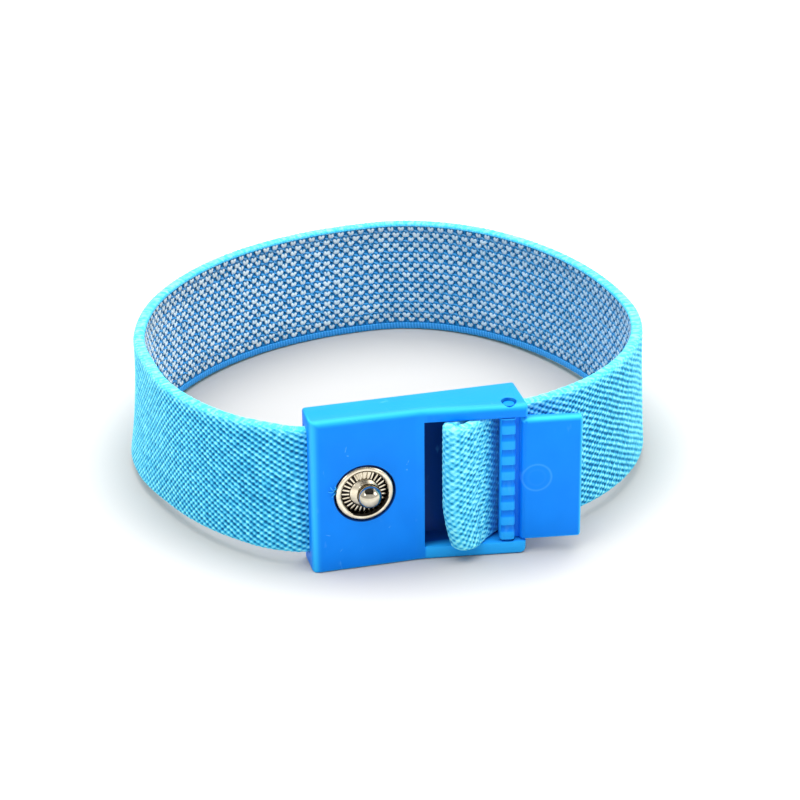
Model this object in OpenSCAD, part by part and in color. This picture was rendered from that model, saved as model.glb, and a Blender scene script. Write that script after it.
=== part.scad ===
// Elastic anti-static wrist strap: a woven band with a conductive lining, clamped at one
// end under a snap stud and held at the other by a toothed lever in a moulded buckle.
// The buckle stands on its long lower edge. X runs along the buckle from the band's fixed
// end to the lever, -Y is the outer face with the stud, and Z is across the band.

/* [Band] */
// Width of the woven band
band_w = 20; // [16:0.5:25]
// Thickness of the whole band, both layers
band_t = 1.8; // [1.5:0.1:2.2]
// Thickness of the conductive lining on the wrist side
lining_t = 0.6; // [0.4:0.1:0.8]
// Width of the plain selvedge beside the lining
selvedge_w = 0.9; // [0.6:0.1:1.6]
// Gap between the two layers
layer_gap = 0.08; // [0.05:0.01:0.15]
// Cut-off corners of the band's outer edges
edge_cut = 0.35; // [0.2:0.05:0.5]

/* [Loop] */
// Reach of the loop past the buckle's fixed end
loop_left = 18.6; // [14:0.2:24]
// Reach of the loop past the buckle's lever end
loop_right = 27.2; // [22:0.2:34]
// Depth of the loop behind the buckle's wrist face
loop_depth = 72.5; // [60:0.5:90]
// Depth at which the left side runs straight back
left_side_depth = 32.4; // [26:0.2:38]
// Depth at which the right side runs straight back
right_side_depth = 28.6; // [24:0.2:36]
// Place along the buckle of the deepest point
deepest_x = 27.7; // [20:0.2:34]
// Angle at which the band turns back out of the pocket
exit_angle = 29; // [15:1:38]
// Radius of that turn
exit_r = 4; // [3:0.5:6]

/* [Buckle] */
// Length of the buckle
buckle_l = 31.4; // [29.5:0.1:34]
// Thickness of the closed end
closed_t = 5.5; // [5.2:0.1:6.5]
// Length of the closed end, up to the window
closed_l = 16.6; // [15.5:0.1:17.5]
// Slope of the outer face along the window
flare_angle = 7.8; // [6:0.2:10]
// Distance from the start of the slope to the window
slope_lead = 0.4; // [0:0.1:1]
// Wall beside the band, which is also the arm's thickness
side_wall = 2.0; // [1.6:0.1:3]
// Gap between the band's edge and the wall
edge_gap = 0.2; // [0.15:0.05:0.4]
// Floor on the wrist side
floor_t = 1.2; // [1:0.1:1.4]
// Gap between the band's faces and the pocket
pocket_gap = 0.05; // [0.03:0.01:0.1]
// Distance from the band's clamped end to the window
clamp_inset = 2; // [1:0.1:3]

/* [Lever] */
// Distance of the hinge from the lever end of the buckle
hinge_inset = 2.45; // [2.2:0.05:3]
// Depth of the hinge below the arm's outer face
hinge_depth = 1.35; // [1.3:0.05:1.6]
// Radius of the stub axles
axle_r = 1.0; // [0.8:0.05:1.05]
// Running clearance round the axles
axle_gap = 0.05; // [0.02:0.01:0.09]
// Depth of each axle end below the arm's face
axle_sink = 0.15; // [0.05:0.05:0.4]
// Side gap between lever and arms
lever_gap = 0.3; // [0.2:0.05:0.5]
// Depth of the barrel's ribs below the arm's outer face
barrel_sink = 0.05; // [0:0.01:0.1]
// Number of grooves round the barrel
groove_count = 8; // [5:1:10]
// Depth of those grooves
groove_d = 0.22; // [0.1:0.02:0.24]
// Gap between the teeth and the climbing band
tooth_gap = 0.2; // [0.15:0.05:0.4]
// Angle of the teeth past square to the floor
tooth_lead = 4; // [0:1:10]
// Height of the teeth
tooth_h = 0.7; // [0.4:0.1:0.8]
// Thickness of the thumb plate
plate_t = 1.1; // [0.9:0.05:1.4]
// Reach of the thumb plate past the buckle
plate_reach = 7.9; // [6:0.1:9]
// Distance from the hinge to the heel of the thumb plate
heel_out = 1.75; // [1.6:0.05:2]
// Radius of that heel
heel_r = 0.6; // [0.4:0.05:0.7]

/* [Snap] */
// Place of the stud along the buckle
stud_x = 7.8; // [7.2:0.1:8.4]
// Radius of the hole round the stud
stud_hole_r = 4.5; // [4.2:0.1:5]
// Gap between the collar's rim and the hole
rim_gap = 0.2; // [0.1:0.05:0.4]
// Width of the collar's rolled rim
rim_w = 0.85; // [0.7:0.05:1.1]
// Height of the rim above the outer face
rim_proud = 0.15; // [0:0.05:0.4]
// Thickness of the collar's pressed metal
collar_t = 0.28; // [0.2:0.02:0.34]
// Depth of the groove inside the rim, below the outer face
moat_d = 0.75; // [0.5:0.05:1]
// Number of flutes round the collar
flute_count = 40; // [24:1:48]
// Height and width of a flute
flute_size = 0.2; // [0.14:0.02:0.26]
// Radius of the stud's base, inside the flutes
base_r = 2.15; // [2:0.05:2.3]
// Radius of the stud's head
head_r = 1.9; // [1.7:0.05:2]
// Length of the head's straight side
head_land = 1.0; // [0.8:0.1:1.4]
// Height of the head's rounded top
head_dome = 0.9; // [0.5:0.1:1.2]
// Radius of the stud's neck
neck_r = 1.5; // [1.4:0.05:1.6]
// Height of the head's middle above the outer face
head_up = 2.0; // [1.8:0.1:2.6]
// Radius of the hollow post through the band
post_r = 1.1; // [0.9:0.05:1.2]
// Wall of the hollow post
post_wall = 0.3; // [0.2:0.05:0.4]
// Clearance round the post
post_gap = 0.06; // [0.04:0.01:0.1]
// Radius of the post's domed cap
cap_r = 3.2; // [2.6:0.1:4]
// Height of that cap
cap_t = 0.6; // [0.4:0.05:0.8]
// Radius of the skin plate
skin_r = 6.5; // [5:0.1:6.8]
// Thickness of the skin plate
skin_t = 0.5; // [0.4:0.05:0.8]
// Depth of the skin plate's seat
seat_d = 0.35; // [0.2:0.05:0.4]

/* [Free end] */
// Angle at which the free end climbs past the teeth
climb_angle = 37.5; // [34:0.5:40]
// Radius of the bend into the climb
bend_r = 2.6; // [2.4:0.1:3]
// Gap between the barrel and the climbing band
climb_gap = 0.55; // [0.45:0.05:0.7]
// Length of the straight climb
climb_l = 6.8; // [6:0.1:7.4]
// Radius of the easing over the crest
crest_r = 4.5; // [4:0.1:5]
// Angle turned over the crest
crest_turn = 32.5; // [28:0.5:36]
// Radius of the fold
fold_r = 1.3; // [1.2:0.05:1.5]
// Length of the turned-back ply past the fold
hem_l = 4.4; // [3.6:0.1:5]
// Gap between the two plies at the cut end
ply_gap = 0.16; // [0.1:0.02:0.3]

/* [Hidden] */
$fn = 48;
turned_fn = 96;
overcut = 1;

// Heights across the band
band_low = side_wall + edge_gap;
buckle_h = band_w + 2 * band_low;
mid_z = buckle_h / 2;
window_h = band_w + 2 * edge_gap;
lever_w = window_h - 2 * lever_gap;
lever_low = side_wall + lever_gap;

// Distances from the wrist face, towards the outer face
half_t = band_t / 2;
band_mid = floor_t + pocket_gap + half_t;
pocket_top = band_mid + half_t + pocket_gap;
kink_x = closed_l - slope_lead;
hinge_x = buckle_l - hinge_inset;
plate_tip_x = buckle_l + plate_reach;
// Outer face at a place along the slope
function face_up(x) = closed_t + (x - kink_x) * tan(flare_angle);
hinge_up = face_up(hinge_x) - hinge_depth;
barrel_r = hinge_depth - barrel_sink;
head_mid = closed_t + head_up;
head_top = head_mid + head_land / 2 + head_dome;

// Colours
plastic_blue = [0.10, 0.52, 0.98];
band_blue = [0.36, 0.82, 0.98];
lining_grey = [0.50, 0.66, 0.82];
steel = [0.78, 0.77, 0.72];

// ---- path of the band's middle, seen from above: x along the buckle, y away from the wrist ----
arc_steps = 5;
fold_steps = 9;
side_steps = 14;

function turned(p, h, d) = [p[0] + d * cos(h), p[1] + d * sin(h)];
// Points of an arc from p, heading h, turning by a at radius r; the start is left out
function arc_points(p, h, a, r, n) = [for (i = [1:n])
    let (s = a > 0 ? 1 : -1, c = turned(p, h + 90 * s, r)) turned(c, h - 90 * s + a * i / n, r)];
// Points of a curve with two handles; the start is left out
function curve_points(a, b, c, d, n) = [for (i = [1:n])
    let (t = i / n, s = 1 - t) s*s*s*a + 3*s*s*t*b + 3*s*t*t*c + t*t*t*d];

// Fixed end, pocket and the turn out of it
fixed_end = [closed_l - clamp_inset, band_mid];
pocket_mouth = [0, band_mid];
exit_arc = arc_points(pocket_mouth, 180, exit_angle, exit_r, arc_steps);
exit_point = exit_arc[arc_steps - 1];

// Four quarters round the wrist, each with the pull of its two handles
left_front_pull = [0.73, 0.41];
left_back_pull = [0.35, 0.69];
right_back_pull = [0.55, 0.54];
right_front_pull = [0.65, 0.35];
left_point = [-loop_left, -left_side_depth];
back_point = [deepest_x, -loop_depth];
right_point = [buckle_l + loop_right, -right_side_depth];
throat = [buckle_l, band_mid];

left_front = curve_points(exit_point,
    turned(exit_point, 180 + exit_angle, left_front_pull[0] * (exit_point[0] - left_point[0])),
    left_point + [0, left_front_pull[1] * (exit_point[1] - left_point[1])],
    left_point, side_steps);
left_back = curve_points(left_point,
    left_point - [0, left_back_pull[0] * (left_point[1] - back_point[1])],
    back_point - [left_back_pull[1] * (back_point[0] - left_point[0]), 0],
    back_point, side_steps);
right_back = curve_points(back_point,
    back_point + [right_back_pull[0] * (right_point[0] - back_point[0]), 0],
    right_point - [0, right_back_pull[1] * (right_point[1] - back_point[1])],
    right_point, side_steps);
right_front = curve_points(right_point,
    right_point + [0, right_front_pull[0] * (throat[1] - right_point[1])],
    throat + [right_front_pull[1] * (right_point[0] - throat[0]), 0],
    throat, side_steps);

// Free end: under the teeth, up past the barrel, over the crest and folded back
climb_heading = 180 - climb_angle;
climb_clear = barrel_r + climb_gap;
bend_x = hinge_x - (climb_clear + half_t - bend_r
    - (hinge_up - band_mid - bend_r) * cos(climb_angle)) / sin(climb_angle);
bend_start = [bend_x, band_mid];
bend_arc = arc_points(bend_start, 180, -climb_angle, bend_r, arc_steps);
climb_end = turned(bend_arc[arc_steps - 1], climb_heading, climb_l);
crest_arc = arc_points(climb_end, climb_heading, crest_turn, crest_r, arc_steps);
// The fold turns until the cut end lies ply_gap under the climbing ply
ply_fall = band_t + ply_gap - crest_r * (1 - cos(crest_turn)) - fold_r * cos(crest_turn);
fold_turn = 180 - crest_turn + acos(ply_fall / norm([fold_r, hem_l])) - atan2(hem_l, fold_r);
fold_heading = climb_heading + crest_turn;
fold_arc = arc_points(crest_arc[arc_steps - 1], fold_heading, fold_turn, fold_r, fold_steps);
hem_end = turned(fold_arc[fold_steps - 1], fold_heading + fold_turn, hem_l);

band_path = concat([fixed_end, pocket_mouth], exit_arc, left_front, left_back, right_back,
    right_front, [bend_start], bend_arc, [climb_end], crest_arc, fold_arc, [hem_end]);
path_count = len(band_path);

// ---- place of the row's origin: middle of the outer box, on the surface below ----
crest_top = max([for (p = band_path) p[1]]) + half_t;
front_y = max(head_top, face_up(plate_tip_x), crest_top);
back_y = -loop_depth - half_t;
left_x = -loop_left - half_t;
right_x = max(buckle_l + loop_right + half_t, plate_tip_x);
origin = [(left_x + right_x) / 2, -(front_y + back_y) / 2];

// Moves what is drawn from the buckle's own corner to the row's origin
module placed() { translate([-origin[0], -origin[1], 0]) children(); }
// Stands a shape drawn upwards from z = 0 on the wrist face at the stud, rising outwards
module on_stud_axis() { placed() translate([stud_x, 0, mid_z]) rotate([90, 0, 0]) children(); }
// Extrudes an outline given as [x, height above the wrist face]
module profile(height, outline) {
    linear_extrude(height) polygon([for (p = outline) [p[0], -p[1]]]);
}

// ---- buckle ----
module buckle_body() {
    color(plastic_blue) difference() {
        placed() profile(buckle_h, [[0, 0], [buckle_l, 0], [buckle_l, face_up(buckle_l)],
            [kink_x, closed_t], [0, closed_t]]);
        // window between the arms, over the floor
        placed() translate([closed_l, -face_up(buckle_l) - overcut, side_wall])
            cube([buckle_l, face_up(buckle_l) + overcut - floor_t, window_h]);
        // pocket for the clamped end, through from the left end into the window
        placed() translate([-overcut, -pocket_top, side_wall])
            cube([closed_l + 2 * overcut, pocket_top - floor_t, window_h]);
        // hole for the stud in the front wall
        on_stud_axis() translate([0, 0, band_mid]) cylinder(r = stud_hole_r, h = closed_t);
        // hole for the post in the floor
        on_stud_axis() translate([0, 0, -overcut]) cylinder(r = post_r + post_gap, h = band_mid + overcut);
        // seat for the skin plate in the wrist face
        on_stud_axis() translate([0, 0, -overcut]) cylinder(r = skin_r + post_gap, h = seat_d + overcut);
        // hinge bores through both arms
        placed() translate([hinge_x, -hinge_up, -overcut])
            cylinder(r = axle_r + axle_gap, h = buckle_h + 2 * overcut);
    }
}

// ---- lever, in outlines measured from its hinge ----
groove_pitch = lever_w / groove_count;
groove_flat = 0.36 * groove_pitch;
groove_slope = 0.12 * groove_pitch;
// Depth of the barrel's outline at four corners of each groove
groove_corners = [[-groove_flat / 2 - groove_slope, 0], [-groove_flat / 2, groove_d],
    [groove_flat / 2, groove_d], [groove_flat / 2 + groove_slope, 0]];
barrel_outline = concat([[0, 0], [barrel_r, 0]],
    [for (i = [0:groove_count - 1], c = groove_corners)
        [barrel_r - c[1], (i + 0.5) * groove_pitch + c[0]]],
    [[barrel_r, lever_w], [0, lever_w]]);

function face_over_hinge(x) = face_up(hinge_x + x) - hinge_up;
plate_drop = plate_t / cos(flare_angle);
tip_out = plate_tip_x - hinge_x;
heel_start = [heel_out, face_over_hinge(heel_out + heel_r) - heel_r];
heel_arc = arc_points(heel_start, 90, flare_angle - 90, heel_r, arc_steps);
web_up = barrel_r / 3;
plate_outline = concat([[0, web_up], [heel_out, web_up], heel_start], heel_arc,
    [[tip_out, face_over_hinge(tip_out)],
     [tip_out + plate_t * sin(flare_angle), face_over_hinge(tip_out) - plate_t * cos(flare_angle)],
     [heel_out + plate_t, face_over_hinge(heel_out + plate_t) - plate_drop],
     [heel_out, -web_up], [web_up, 0.1 - barrel_r], [0, 0.1 - barrel_r]]);

// The teeth end tooth_gap short of the climbing band
tooth_r = (climb_clear - tooth_gap) / cos(climb_angle - tooth_lead);
tooth_root = 0.5;
tooth_tip = 0.12;
foot_half = 0.8 * barrel_r;

module cam_lever() {
    color(plastic_blue) placed() {
        // stub axles, one through each arm
        translate([hinge_x, -hinge_up, axle_sink]) cylinder(r = axle_r, h = buckle_h - 2 * axle_sink);
        translate([hinge_x, -hinge_up, lever_low]) {
            // grooved barrel between the arms
            rotate_extrude() polygon(barrel_outline);
            // thumb plate with its heel, and a web to the barrel
            profile(lever_w, plate_outline);
            // foot of the barrel with its row of biting teeth
            rotate(90 - tooth_lead) {
                linear_extrude(lever_w) polygon([[0, -foot_half], [tooth_r - tooth_h, -tooth_root],
                    [tooth_r - tooth_h, tooth_root], [0, foot_half]]);
                for (i = [0:groove_count - 1])
                    translate([0, 0, (i + 0.25) * groove_pitch]) linear_extrude(groove_pitch / 2)
                        polygon([[0, -tooth_root], [tooth_r - tooth_h, -tooth_root],
                            [tooth_r, -tooth_tip], [tooth_r, tooth_tip],
                            [tooth_r - tooth_h, tooth_root], [0, tooth_root]]);
            }
        }
    }
}

// ---- band ----
function unit(v) = v / norm(v);
function step_way(i) = unit(band_path[i + 1] - band_path[i]);
// Heading of the band at a point of its path
function path_way(i) = i == 0 ? step_way(0)
    : i == path_count - 1 ? step_way(i - 1)
    : unit(step_way(i - 1) + step_way(i));
// Share by which the band has come down from the buckle to the surface below
function sunk(p) = max(0, (band_mid - p[1]) / (band_mid + loop_depth));
// One point of a ring: out from the band's middle, and up from its lower edge
function ring_point(i, out, up) = let (p = band_path[i], w = path_way(i))
    [p[0] + w[1] * out, -(p[1] - w[0] * out), band_low * (1 - sunk(p)) + up];

// A layer swept along the path: section lists [out, up] round the layer
module swept(section) {
    n = len(section);
    points = [for (i = [0:path_count - 1], s = section) ring_point(i, s[0], s[1])];
    sides = [for (i = [0:path_count - 2], k = [0:n - 1], half = [0, 1])
        let (a = i * n + k, b = i * n + (k + 1) % n)
        half == 0 ? [a, b, b + n] : [a, b + n, a + n]];
    ends = [[for (k = [n - 1:-1:0]) k], [for (k = [0:n - 1]) (path_count - 1) * n + k]];
    polyhedron(points, concat(sides, ends), convexity = 10);
}

channel_floor = -half_t + lining_t + layer_gap;
lining_edge = selvedge_w + layer_gap;
elastic_section = [
    [half_t - edge_cut, 0], [half_t, edge_cut],
    [half_t, band_w - edge_cut], [half_t - edge_cut, band_w],
    [-half_t + edge_cut / 2, band_w], [-half_t, band_w - edge_cut / 2],
    [-half_t, band_w - selvedge_w], [channel_floor, band_w - selvedge_w],
    [channel_floor, selvedge_w], [-half_t, selvedge_w],
    [-half_t, edge_cut / 2], [-half_t + edge_cut / 2, 0]];
lining_section = [
    [-half_t, lining_edge], [-half_t + lining_t, lining_edge],
    [-half_t + lining_t, band_w - lining_edge], [-half_t, band_w - lining_edge]];

// A layer with the hole for the post
module holed_layer(section) {
    difference() {
        placed() swept(section);
        on_stud_axis() cylinder(r = post_r + post_gap, h = closed_t);
    }
}
module elastic_band() { color(band_blue) holed_layer(elastic_section); }
module conductive_lining() { color(lining_grey) holed_layer(lining_section); }

// ---- snap: shapes turned about the stud's axis, [radius, height above the wrist face] ----
module turned_about_stud(outline) {
    on_stud_axis() rotate_extrude($fn = turned_fn) polygon(outline);
}
snap_foot = pocket_top;
bore_r = post_r + post_gap;
rim_out = stud_hole_r - rim_gap;
rim_in = rim_out - rim_w;
rim_mid = closed_t + rim_proud - rim_w / 2;
moat_up = closed_t - moat_d;
collar_in = base_r + post_gap;
// The fluted ring rises from the moat to the stud's base
flute_low = [rim_in - collar_t, closed_t - collar_t - flute_size];
flute_high = [collar_in, closed_t];
flute_run = flute_low - flute_high;

module fluted_collar() {
    rim_arc = arc_points([rim_out, rim_mid], 90, 180, rim_w / 2, 2 * arc_steps);
    color(steel) {
        turned_about_stud(concat([[rim_out, snap_foot], [rim_out, rim_mid]], rim_arc,
            [[rim_in, moat_up + collar_t], flute_low, flute_high,
             flute_high - [0, collar_t], flute_low - [0, collar_t],
             [rim_in, moat_up], [rim_in + collar_t, moat_up], [rim_in + collar_t, rim_mid],
             [rim_out - collar_t, rim_mid], [rim_out - collar_t, snap_foot]]));
        // flutes standing on the ring
        for (i = [0:flute_count - 1])
            on_stud_axis() rotate(i * 360 / flute_count)
                translate([flute_high[0], -flute_size / 2, flute_high[1]])
                    rotate([0, atan2(-flute_run[1], flute_run[0]), 0])
                        translate([flute_size / 2, 0, -collar_t / 2])
                            cube([norm(flute_run) - flute_size / 2, flute_size, collar_t / 2 + flute_size]);
    }
}

module snap_stud() {
    shoulder_cut = 0.25;
    shoulder = closed_t + flute_size;
    neck_low = shoulder + (base_r - neck_r);
    land_low = head_mid - head_land / 2;
    land_high = land_low + head_land;
    head_under = land_low - (head_r - neck_r);
    dome = [for (a = [15:15:90]) [head_r * cos(a), land_high + head_dome * sin(a)]];
    color(steel) turned_about_stud(concat(
        [[bore_r, snap_foot], [base_r, snap_foot], [base_r, shoulder],
         [base_r - shoulder_cut, shoulder + shoulder_cut], [neck_r, neck_low], [neck_r, head_under],
         [head_r, land_low], [head_r, land_high]],
        dome, [[0, land_high], [bore_r, land_high]]));
}

module post_cap() {
    cap_face = seat_d - skin_t;
    dome = [for (a = [75:-15:15]) [cap_r * cos(a), cap_face - cap_t * sin(a)]];
    color(steel) turned_about_stud(concat([[0, cap_face - cap_t]], dome,
        [[cap_r, cap_face], [post_r, cap_face], [post_r, head_mid],
         [post_r - post_wall, head_mid], [post_r - post_wall, cap_face], [0, cap_face]]));
}

module skin_plate() {
    outer_face = seat_d - skin_t;
    edge = skin_t / 2;
    color(steel) turned_about_stud([[bore_r, outer_face], [skin_r - edge, outer_face],
        [skin_r, outer_face + edge], [skin_r, seat_d], [bore_r, seat_d]]);
}

buckle_body();
cam_lever();
elastic_band();
conductive_lining();
snap_stud();
fluted_collar();
post_cap();
skin_plate();
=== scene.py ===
# Elastic anti-static wrist strap: knitted band, conductive lining, moulded buckle with a
# toothed lever, and the snap stud. Lengths in the settings are millimetres.
import math
import bmesh
import bpy
import numpy as np
from mathutils import Matrix, Vector


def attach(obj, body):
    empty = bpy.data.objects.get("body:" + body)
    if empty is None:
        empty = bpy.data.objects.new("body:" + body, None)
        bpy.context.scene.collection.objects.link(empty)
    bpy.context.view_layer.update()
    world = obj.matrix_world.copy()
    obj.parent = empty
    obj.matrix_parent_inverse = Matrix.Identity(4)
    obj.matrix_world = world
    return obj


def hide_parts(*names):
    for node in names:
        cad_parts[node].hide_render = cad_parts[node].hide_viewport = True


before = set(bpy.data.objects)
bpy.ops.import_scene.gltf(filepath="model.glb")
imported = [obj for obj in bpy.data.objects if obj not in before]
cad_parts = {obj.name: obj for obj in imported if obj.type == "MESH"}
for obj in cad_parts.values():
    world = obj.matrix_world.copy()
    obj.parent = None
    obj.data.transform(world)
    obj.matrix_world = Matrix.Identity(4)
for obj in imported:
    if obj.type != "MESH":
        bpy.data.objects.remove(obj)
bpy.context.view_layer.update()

mm = 0.001
scene = bpy.context.scene
rng = np.random.default_rng(7)


class Wire:
    # one output socket of a shader node, so that shader maths reads as plain sums
    def __init__(self, tree, socket=None):
        self.tree = tree
        self.socket = socket

    def node(self, kind, inputs=None, output=0, stops=None, **settings):
        made = self.tree.nodes.new(kind)
        for key, value in settings.items():
            setattr(made, key, value)
        if stops:
            ramp = made.color_ramp
            while len(ramp.elements) < len(stops):
                ramp.elements.new(0.5)
            for element, (place, colour) in zip(ramp.elements, stops):
                element.position = place
                element.color = (*colour, 1)
        for key, value in (inputs or {}).items():
            if isinstance(value, Wire):
                self.tree.links.new(value.socket, made.inputs[key])
            else:
                made.inputs[key].default_value = value
        return Wire(self.tree, made.outputs[output])

    def maths(self, operation, first, *rest, clamp=False):
        return self.node("ShaderNodeMath", dict(enumerate((first, *rest))),
                         operation=operation, use_clamp=clamp)

    def __add__(self, other): return self.maths("ADD", self, other)
    def __radd__(self, other): return self.maths("ADD", other, self)
    def __sub__(self, other): return self.maths("SUBTRACT", self, other)
    def __rsub__(self, other): return self.maths("SUBTRACT", other, self)
    def __mul__(self, other): return self.maths("MULTIPLY", self, other)
    def __rmul__(self, other): return self.maths("MULTIPLY", other, self)
    def __abs__(self): return self.maths("ABSOLUTE", self)

    def clamped(self):
        return self.maths("ADD", self, 0.0, clamp=True)

    def between(self, start, end):
        # 0 at start, 1 at end, and level beyond them
        return ((self - start) * (1 / (end - start))).clamped()

    def vector(self, operation, first, *rest, output=0):
        return self.node("ShaderNodeVectorMath", dict(enumerate((first, *rest))),
                         output=output, operation=operation)

    def length(self):
        return self.vector("LENGTH", self, output=1)

    def objectPlace(self):
        return self.node("ShaderNodeTexCoord", output=3)

    def attribute(self, name):
        return self.node("ShaderNodeAttribute", output=2, attribute_name=name)

    def stretched(self, scale, turn=(0.0, 0.0, 0.0)):
        return self.node("ShaderNodeMapping", {"Vector": self, "Scale": scale, "Rotation": turn})

    def noise(self, scale, detail):
        return self.node("ShaderNodeTexNoise", {"Vector": self, "Scale": scale, "Detail": detail})

    def ramp(self, *stops):
        return self.node("ShaderNodeValToRGB", {"Fac": self}, stops=stops)

    def blend(self, low, high):
        # self is the factor between two colours
        low, high = (c if isinstance(c, Wire) else (*c, 1) for c in (low, high))
        return self.node("ShaderNodeMix", {0: self, 6: low, 7: high}, output=2,
                         data_type="RGBA", blend_type="MIX")

    def bump(self, strength, distance):
        return self.node("ShaderNodeBump", {"Height": self, "Strength": strength,
                                            "Distance": distance})


def shaderInput(material, key):
    return material.node_tree.nodes["Principled BSDF"].inputs[key.replace("_", " ")]


def newMaterial(name, **constants):
    material = bpy.data.materials.new(name)
    material.use_nodes = True
    for key, value in constants.items():
        shaderInput(material, key).default_value = value
    return material, Wire(material.node_tree)


def feed(material, **links):
    for key, wire in links.items():
        wire.tree.links.new(wire.socket, shaderInput(material, key))


def toBmesh(mesh):
    bm = bmesh.new()
    bm.from_mesh(mesh)
    return bm


def toMesh(bm, name):
    mesh = bpy.data.meshes.new(name)
    bm.to_mesh(mesh)
    bm.free()
    return mesh


def fromMesh(mesh, name, material, smoothAngle=35):
    mesh.polygons.foreach_set("use_smooth", [True] * len(mesh.polygons))
    if smoothAngle:
        mesh.set_sharp_from_angle(angle=math.radians(smoothAngle))
    mesh.materials.clear()
    mesh.materials.append(material)
    piece = bpy.data.objects.new(name, mesh)
    scene.collection.objects.link(piece)
    return piece


def fromBmesh(bm, name, material, smoothAngle=35):
    bmesh.ops.recalc_face_normals(bm, faces=bm.faces)
    return fromMesh(toMesh(bm, name), name, material, smoothAngle)


def applied(piece):
    # the mesh with all its modifiers made real
    bpy.context.view_layer.update()
    mesh = bpy.data.meshes.new_from_object(
        piece.evaluated_get(bpy.context.evaluated_depsgraph_get()))
    bpy.data.objects.remove(piece)
    return mesh


def setAttributes(mesh, **attributes):
    for name, values in attributes.items():
        layer = mesh.attributes.new(name, "FLOAT", "POINT")
        layer.data.foreach_set("value", np.asarray(values, np.float32).ravel())


def getPlaces(mesh):
    flat = np.empty(len(mesh.vertices) * 3, np.float32)
    mesh.vertices.foreach_get("co", flat)
    return flat.reshape(-1, 3).astype(float)


def setPlaces(mesh, places):
    mesh.vertices.foreach_set("co", places.astype(np.float32).ravel())


def clamp(value):
    return min(max(value, 0.0), 1.0)


# shared frame: along the buckle, outwards from its wrist face, up
origin = {"along": 20.0, "wristFace": 32.25}


def plan(along, outward, up=0.0):
    return Vector((along - origin["along"], -origin["wristFace"] - outward, up)) * mm


def unplan(place):
    # the reverse: along, outward and up of a place in metres
    return place.x / mm + origin["along"], -place.y / mm - origin["wristFace"], place.z / mm


view = {"eye": (-88.10, -363.41, 196.01), "target": (3.025, 2.07, 5.737),
        "lens": 120.1, "roll": -0.536}


def addCamera():
    camera = bpy.data.objects.new("camera", bpy.data.cameras.new("camera"))
    camera.data.lens = view["lens"]
    camera.data.sensor_width = 36
    camera.data.clip_start = 0.01
    eye, target = Vector(view["eye"]) * mm, Vector(view["target"]) * mm
    turn = (target - eye).to_track_quat("-Z", "Y").to_matrix().to_4x4()
    camera.matrix_world = (Matrix.Translation(eye) @ turn
                           @ Matrix.Rotation(math.radians(view["roll"]), 4, "Z"))
    scene.collection.objects.link(camera)
    scene.camera = camera


light = {"sky": 0.32, "backdrop": 1.0, "gloss": 0.72,
         "lamps": [
             # name, place in metres, size in metres, watts
             ("overheadSoftbox", (0.0, 0.10, 0.95), 1.4, 27.5),
             ("leftSoftbox", (-0.80, -0.55, 0.60), 0.35, 1.2),
             ("rightSoftbox", (0.80, -0.60, 0.50), 0.45, 1.5)],
         # a dark card above the stud: place and size in metres
         "card": ((-0.037, -0.15, 0.476), 0.74)}


def facing(spot):
    # at the spot, turned towards the strap
    turn = (-Vector(spot)).to_track_quat("-Z", "Y").to_matrix().to_4x4()
    return Matrix.Translation(spot) @ turn


def addLights():
    world = bpy.data.worlds.new("studio")
    world.use_nodes = True
    scene.world = world
    seen, glossy, through = (
        Wire(world.node_tree).node("ShaderNodeLightPath", output=f"Is {kind} Ray")
        for kind in ("Camera", "Glossy", "Transmission"))
    backdrop = (seen + (glossy + through) * light["gloss"]).clamped()
    strength = backdrop * (light["backdrop"] - light["sky"]) + light["sky"]
    background = world.node_tree.nodes["Background"]
    background.inputs["Color"].default_value = (1, 1, 1, 1)
    world.node_tree.links.new(strength.socket, background.inputs["Strength"])
    for name, spot, size, watts in light["lamps"]:
        lamp = bpy.data.objects.new(name, bpy.data.lights.new(name, "AREA"))
        lamp.data.energy = watts
        lamp.data.size = size
        lamp.matrix_world = facing(spot)
        scene.collection.objects.link(lamp)
    # the card is seen only in the metal's gloss
    spot, size = light["card"]
    black = newMaterial("blackCard", Roughness=1.0, Base_Color=(0.01, 0.01, 0.01, 1))[0]
    bm = bmesh.new()
    bmesh.ops.create_grid(bm, x_segments=1, y_segments=1, size=size / 2, matrix=facing(spot))
    card = fromBmesh(bm, "blackCard", black, 0)
    card.visible_camera = card.visible_diffuse = card.visible_shadow = False


# all in metres: how far from the middle it stays dull, as painted shade round the strap, and from
# where it is white
floor = {"dull": (0.458, 0.455, 0.448), "white": (0.72, 0.715, 0.70),
         "paintedShadeTo": 0.038, "whiteFrom": 0.063, "patchy": 0.1, "halfSize": 3.0}


def addFloor():
    # painted shade round the strap, paler with distance until it is white
    paper, wires = newMaterial("floorPaintedShade", Roughness=0.9, Specular_IOR_Level=0.0)
    spot = wires.objectPlace()
    share = ((spot.length() - floor["paintedShadeTo"]) * (1 / (floor["whiteFrom"] - floor["paintedShadeTo"]))
             + (spot.noise(9.0, 2.0) - 0.5) * floor["patchy"])
    feed(paper, Base_Color=share.ramp((0.0, floor["dull"]), (1.0, floor["white"])))
    bm = bmesh.new()
    bmesh.ops.create_grid(bm, x_segments=4, y_segments=4, size=floor["halfSize"])
    fromBmesh(bm, "floor", paper, 0)


addCamera()
addLights()
addFloor()
print("camera, lights and floor")


# the darkest blue here is a painted shade for recesses and gaps
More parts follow.
